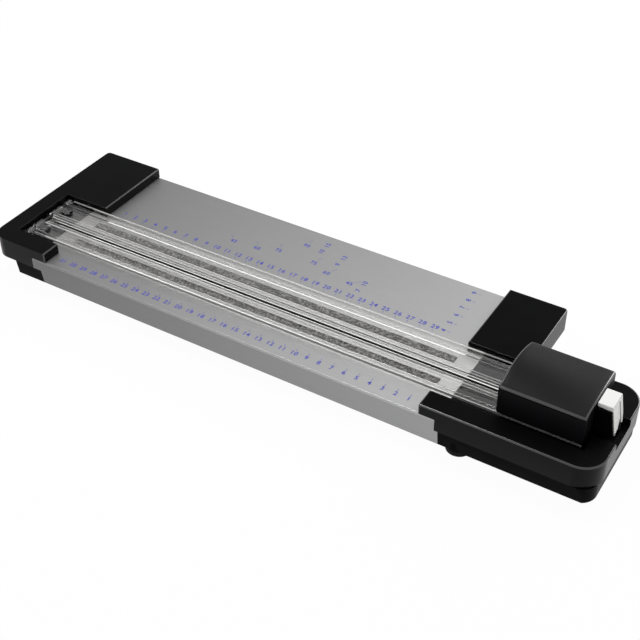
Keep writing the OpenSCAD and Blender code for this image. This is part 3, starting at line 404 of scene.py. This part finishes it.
def rounded(node, body, rules, gloss_walls=False):
    """A copy of a node's shape with rounded edges.

    Each rule is (radius in mm, segments, test of an edge's two ends in mm, material index).
    """
    mesh = NODES[node].data.copy()
    form = bmesh.new()
    form.from_mesh(mesh)
    bmesh.ops.remove_doubles(form, verts=form.verts, dist=WELD)
    bmesh.ops.dissolve_limit(form, angle_limit=FLAT, verts=form.verts, edges=form.edges)
    for radius, segments, test, finish in rules:
        edges = [e for e in form.edges if e.is_manifold and e.calc_face_angle() > SHARP
                 and test(e.verts[0].co / MM, e.verts[1].co / MM)]
        if edges:
            bmesh.ops.bevel(form, geom=edges, offset=radius * MM, offset_type="OFFSET",
                            segments=segments, profile=0.5, affect="EDGES",
                            clamp_overlap=True, material=finish)
    form.normal_update()
    for face in form.faces:
        face.smooth = True
        wall = abs(face.normal.z) < WALL_RISE and face.calc_center_median().z > WALL_Z * MM
        if gloss_walls and wall and face.material_index == 0:
            face.material_index = WALL_INDEX
    form.to_mesh(mesh)
    form.free()
    mesh.set_sharp_from_angle(angle=SMOOTH)
    mesh.materials.append(RIM_HIGHLIGHT)
    mesh.materials.append(WALL)
    piece = add(node + "_shell", mesh)
    normals = piece.modifiers.new("normals", "WEIGHTED_NORMAL")
    normals.mode = "FACE_AREA_WITH_ANGLE"
    normals.keep_sharp = True
    normals.weight = NORMAL_WEIGHT
    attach(piece, body)
    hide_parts(node)


def near(a, b, slack=0.06):
    return abs(a - b) < slack


def inside(value, span):
    return span[0] < value < span[1]


def in_channel(p):
    """Whether a point is on the right cap's rail channel or its end pocket."""
    channel = inside(p.y, CHANNEL_Y) and p.x < CHANNEL_X
    return channel or inside(p.y, POCKET_Y) and p.x > POCKET_X


def in_recess(p):
    """Whether a point is on the left cap's recess for the rail."""
    return inside(p.x, RECESS_X) and inside(p.y, RECESS_Y)


# tests of an edge between points a and b
def cap_top(a, b):
    return near(a.z, CAP_TOP) and near(b.z, CAP_TOP)


def right_rim(a, b):
    return cap_top(a, b) and not (in_channel(a) and in_channel(b))


def left_rim(a, b):
    return cap_top(a, b) and not (in_recess(a) and in_recess(b))


def right_facing(a, b):
    """Whether a rim edge of the left cap lies away from its outer front-left curve."""
    return left_rim(a, b) and a.x > OUTER_CURVE_X and b.x > OUTER_CURVE_X


def anywhere(a, b):
    return True


def upright(x, y):
    """Test for an upright edge at x, y."""
    return lambda a, b: all(near(p.x, x, slack=0.1) and near(p.y, y, slack=0.1) for p in (a, b))


def either(*tests):
    return lambda a, b: any(test(a, b) for test in tests)


def above(z):
    return lambda a, b: a.z > z and b.z > z


# SHINY bevels carry the painted highlight; the left cap's outer front-left curve stays without it
rounded("right_end_cap", "base", [
    (1.0, 5, either(right_rim, upright(*RIGHT_CORNER)), SHINY),
    (0.7, 4, cap_top, SHINY),
    (0.3, 2, above(CAP_LOW), PLAIN),
], gloss_walls=True)
rounded("left_end_cap", "base", [
    (1.0, 5, either(right_facing, upright(*LEFT_CORNER)), SHINY),
    (1.0, 5, left_rim, PLAIN),
    (0.7, 4, cap_top, SHINY),
    (0.3, 2, above(CAP_LOW), PLAIN),
], gloss_walls=True)
rounded("latch_lever", "latch", [
    (0.9, 4, above(LEVER_TOP), PLAIN),
    (0.3, 2, anywhere, PLAIN),
])

# ---------------------------------------------------------------- the head's crown and walls
# the cover's outline and its upper edge, in mm
HEAD_X = (171.25, 230.25)
HEAD_Y = (-50.2, 1.9)
HEAD_EDGE_Z = 55.8
# the crown's height over that edge at the left and at the right end
HEAD_CROWN = (5.2, 0.9)
HEAD_CHAMFER = 1.5
# the smooth crown's rim radius, steps round the rim and across both ways, and its skirt
RIM_R = 1.2
RIM_STEPS = 6
CROWN_STEPS = (16, 24)
SKIRT = 0.8
# what lies less than CROWN_BAND under the crown is part of the cover's own crown
CROWN_BAND = 1.0
CROWN_GAP = 0.02


def crown_z(x, y):
    along = (x - HEAD_X[0]) / (HEAD_X[1] - HEAD_X[0])
    across = 2 * (y - HEAD_Y[0]) / (HEAD_Y[1] - HEAD_Y[0]) - 1
    rise = HEAD_CROWN[0] + (HEAD_CROWN[1] - HEAD_CROWN[0]) * along
    return HEAD_EDGE_Z + rise * (1 - across * across)


def rim_steps(span, middle):
    """Places across a span as (place, drop, on the rim), close together at both rims."""
    first, last = span
    turns = [math.radians(90 * i / RIM_STEPS) for i in range(RIM_STEPS + 1)]
    curve = [(RIM_R * (1 - math.cos(a)), RIM_R * (1 - math.sin(a))) for a in turns]
    flat = last - first - 2 * RIM_R
    start = [(first + inward, drop, True) for inward, drop in curve]
    inner = [(first + RIM_R + flat * i / middle, 0, False) for i in range(1, middle)]
    stop = [(last - inward, drop, True) for inward, drop in reversed(curve)]
    return start + inner + stop


def crown_point(column, row, down=0.0):
    """A point of the crown in metres; the outline narrows towards both ends of X."""
    x, drop_x, _ = column
    y, drop_y, _ = row
    inset = max(0, HEAD_CHAMFER - min(x - HEAD_X[0], HEAD_X[1] - x)) / 2
    share = (y - HEAD_Y[0]) / (HEAD_Y[1] - HEAD_Y[0])
    z = crown_z(x, y) - drop_x - drop_y - down
    y = HEAD_Y[0] + inset + share * (HEAD_Y[1] - HEAD_Y[0] - 2 * inset)
    return x * MM, y * MM, z * MM


def head_crown():
    """A smooth crown whose rim carries the painted highlight plastic, over the cover's walls, and
    a skirt round it.
    """
    xs, ys = rim_steps(HEAD_X, CROWN_STEPS[0]), rim_steps(HEAD_Y, CROWN_STEPS[1])
    rows, cols = len(xs), len(ys)
    verts = [crown_point(x, y) for x in xs for y in ys]
    faces, shiny = [], []
    for i in range(rows - 1):
        for j in range(cols - 1):
            a, b = i * cols + j, (i + 1) * cols + j
            faces.append((a, b, b + 1, a + 1))
            shiny.append(xs[i][2] and xs[i + 1][2] or ys[j][2] and ys[j + 1][2])
    ring = [(i, 0) for i in range(rows)] + [(rows - 1, j) for j in range(1, cols)]
    ring += [(i, cols - 1) for i in range(rows - 2, -1, -1)]
    ring += [(0, j) for j in range(cols - 2, 0, -1)]
    low = len(verts)
    verts += [crown_point(xs[i], ys[j], SKIRT) for i, j in ring]
    for k, (i, j) in enumerate(ring):
        n = (k + 1) % len(ring)
        faces.append((i * cols + j, low + k, low + n, ring[n][0] * cols + ring[n][1]))
        shiny.append(False)
    mesh = bpy.data.meshes.new("head_cover_crown")
    mesh.from_pydata(verts, [], faces)
    mesh.materials.append(HEAD)
    mesh.materials.append(RIM_HIGHLIGHT)
    # the rim faces get the painted highlight plastic
    for face, gloss in zip(mesh.polygons, shiny):
        face.use_smooth = True
        face.material_index = int(gloss)
    piece = add("head_cover_crown", mesh)
    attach(piece, "head")


def head_walls():
    """The cover with its own crown lowered under the smooth one."""
    mesh = NODES["head_cover"].data.copy()
    for v in mesh.vertices:
        x, y, z = v.co / MM
        if crown_z(x, y) - z < CROWN_BAND:
            v.co.z -= (RIM_R + CROWN_GAP) * MM
    mesh.materials.clear()
    mesh.materials.append(HEAD)
    piece = add("head_cover_walls", mesh)
    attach(piece, "head")
    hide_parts("head_cover")


head_crown()
head_walls()

# ---------------------------------------------------------------- printed scales
# all in mm from the front scale's zero
INK_Z = 0.02
TICK_W = 0.35
# a digit's height as a share of the font's size, its boldness in metres and its spacing
DIGIT_SHARE = 0.7
DIGIT_BOLD = 0.00010
DIGIT_SPACE = 1.12
SIDE_ZERO_Y, SIDE_X, SIDE_TICK = 35.0, -22.6, (-19.4, -17.2)
# angle marks fan out from one point on the cutting line: (degrees, x, y)
FAN = Vector((-160.5, 35.1))
FAN_START, FAN_LINE, FAN_W = 4.2, 5, 0.2
ANGLE_MARKS = (
    (45, -107.5, 87.5), (60, -129, 90), (75, -144, 96), (90, -160.5, 112.5),
    (75, -176, 96), (60, -192, 90), (45, -213, 88.5),
)
# sheet sizes: (x, y, front and back number)
SIZE_MARKS = (
    (-146.5, 116, ("10", "15")), (-127, 108, ("9", "13")), (-97.5, 88, ("7", "10")),
)
SIZE_FIRST, SIZE_STEP = -4.5, 9.5


def ink_piece(name, parts):
    """Joins flat outlines into one printed piece. Each part is (vertices, faces)."""
    verts, faces = [], []
    for part_verts, part_faces in parts:
        base = len(verts)
        verts += part_verts
        faces += [[base + i for i in face] for face in part_faces]
    mesh = bpy.data.meshes.new(name)
    mesh.from_pydata(verts, [], faces)
    mesh.materials.append(INK)
    obj = add(name, mesh)
    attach(obj, "base")


def number(text, x, y, height, turn=0.0):
    """A numeral's outline on the deck, centred at x, y, turned by some degrees."""
    curve = bpy.data.curves.new("numeral", "FONT")
    curve.body = text
    curve.size = height * MM / DIGIT_SHARE
    curve.align_x = "CENTER"
    curve.align_y = "CENTER"
    curve.resolution_u = 3
    curve.offset = DIGIT_BOLD
    curve.space_character = DIGIT_SPACE
    obj = add("numeral", curve)
    bpy.context.view_layer.update()
    shaped = obj.evaluated_get(bpy.context.evaluated_depsgraph_get())
    mesh = bpy.data.meshes.new_from_object(shaped)
    place = Matrix.Translation(at(x, y, INK_Z)) @ Matrix.Rotation(math.radians(turn), 4, "Z")
    verts = [tuple(place @ v.co) for v in mesh.vertices]
    faces = [list(p.vertices) for p in mesh.polygons]
    bpy.data.objects.remove(obj)
    bpy.data.curves.remove(curve)
    bpy.data.meshes.remove(mesh)
    return verts, faces


def bar(x0, y0, x1, y1):
    """A printed bar between two corners."""
    corners = [(x0, y0), (x1, y0), (x1, y1), (x0, y1)]
    return [tuple(at(x, y, INK_Z)) for x, y in corners], [[0, 1, 2, 3]]


def line(a, b, width):
    """A printed line of some width between two points."""
    side = (b - a).normalized().orthogonal() * width / 2
    verts = [tuple(at(c.x, c.y, INK_Z)) for c in (a - side, b - side, b + side, a + side)]
    return verts, [[0, 1, 2, 3] if (b - a).cross(side) > 0 else [3, 2, 1, 0]]


def long_scale(name, last, zero, step, y, height, tick):
    """A scale along X that counts from 1, with ticks over a span of Y."""
    parts = []
    for n in range(1, last + 1):
        x = zero + step * n
        parts.append(number(str(n), x, y, height))
        parts.append(bar(x - TICK_W / 2, tick[0], x + TICK_W / 2, tick[1]))
    ink_piece(name, parts)


long_scale("front_scale", last=31, zero=0, step=-10, y=-0.7, height=3.9, tick=(2.3, 4.2))
long_scale("rear_scale", last=29, zero=-319.5, step=10, y=74.9, height=4.1, tick=(69.6, 71.6))

side_parts = []
for n in range(4, 10):
    y = SIDE_ZERO_Y + 10 * n
    side_parts.append(number(str(n), SIDE_X, y, height=3.8, turn=90))
    side_parts.append(bar(SIDE_TICK[0], y - TICK_W / 2, SIDE_TICK[1], y + TICK_W / 2))
ink_piece("side_scale", side_parts)

angle_parts = []
for degrees, x, y in ANGLE_MARKS:
    angle_parts.append(number(str(degrees), x, y, height=3.7))
    ray = (Vector((x, y)) - FAN).normalized()
    start = Vector((x, y)) + ray * FAN_START
    angle_parts.append(line(start, start + ray * FAN_LINE, FAN_W))
ink_piece("angle_marks", angle_parts)

size_parts = []
for x, y, pair in SIZE_MARKS:
    for i, text in enumerate(pair):
        size_parts.append(number(text, x, y + SIZE_FIRST + SIZE_STEP * i, height=3.9, turn=90))
ink_piece("size_marks", size_parts)

# ---------------------------------------------------------------- floor, light, camera
FLOOR_HALF = 6
FLOOR_GREY = 0.9
# how much of the floor's look is plain white; the rest takes the shadow
FLOOR_WHITE = 0.965
WORLD_LIGHT = 0.5


def floor_material():
    """Pale floor that shows white, and keeps the shadow under the object."""
    m = Material("floor")
    m.set(Base_Color=(*grey(FLOOR_GREY), 1), Roughness=0.9, Specular_IOR_Level=0.0)
    white = m.new("ShaderNodeEmission")
    white.inputs["Color"].default_value = (1, 1, 1, 1)
    white.inputs["Strength"].default_value = 1.0
    share = m.calc("MULTIPLY", m.seen(), FLOOR_WHITE)
    look = m.mix(share, m.bsdf.outputs["BSDF"], white.outputs["Emission"])
    m.link(look, m.out.inputs["Surface"])
    return m.mat


def sky():
    """A world whose light is even; the camera, reflections and clear parts see plain white."""
    world = bpy.data.worlds.new("studio")
    SCENE.world = world
    world.use_nodes = True
    nodes = Nodes(world.node_tree)
    even = nodes.tree.nodes["Background"]
    even.inputs["Color"].default_value = (1, 1, 1, 1)
    even.inputs["Strength"].default_value = WORLD_LIGHT
    white = nodes.new("ShaderNodeBackground")
    white.inputs["Color"].default_value = (1, 1, 1, 1)
    white.inputs["Strength"].default_value = 1.0
    look = nodes.mix(nodes.seen(), even.outputs["Background"], white.outputs["Background"])
    nodes.link(look, nodes.tree.nodes["World Output"].inputs["Surface"])


def lamp(name, place, target, size, power):
    """Soft rectangular lamp that points at target, size[0] along X."""
    light = bpy.data.lights.new(name, "AREA")
    light.shape = "RECTANGLE"
    light.size, light.size_y = size
    light.energy = power
    obj = add(name, light)
    obj.location = place
    obj.rotation_euler = (Vector(target) - Vector(place)).to_track_quat("-Z", "Y").to_euler()


floor_mesh = bpy.data.meshes.new("floor")
floor_signs = ((-1, -1), (1, -1), (1, 1), (-1, 1))
floor_corners = [(x * FLOOR_HALF, y * FLOOR_HALF, 0) for x, y in floor_signs]
floor_mesh.from_pydata(floor_corners, [], [(0, 1, 2, 3)])
floor_mesh.materials.append(floor_material())
floor = add("floor", floor_mesh)

sky()
lamp("over", (-0.45, 0.30, 1.5), (0, 0, 0), size=(0.5, 0.3), power=9)
lamp("back", (0.56, 1.68, 1.05), (0.15, 0, 0), size=(1.2, 0.6), power=16)
lamp("fill", (-0.7, -1.1, 1.2), (0, 0, 0), size=(0.9, 0.6), power=3)

# the camera was fitted to the tick marks of the printed scales
camera_data = bpy.data.cameras.new("camera")
camera_data.lens = 66.0868
camera_data.sensor_width = 36
camera = add("camera", camera_data)
camera.location = (0.367703, -0.576568, 0.557138)
camera.rotation_mode = "QUATERNION"
camera.rotation_quaternion = Quaternion((0.8689861, 0.4131470, 0.1209240, 0.2440290))
SCENE.camera = camera
SCENE.view_settings.view_transform = "Standard"
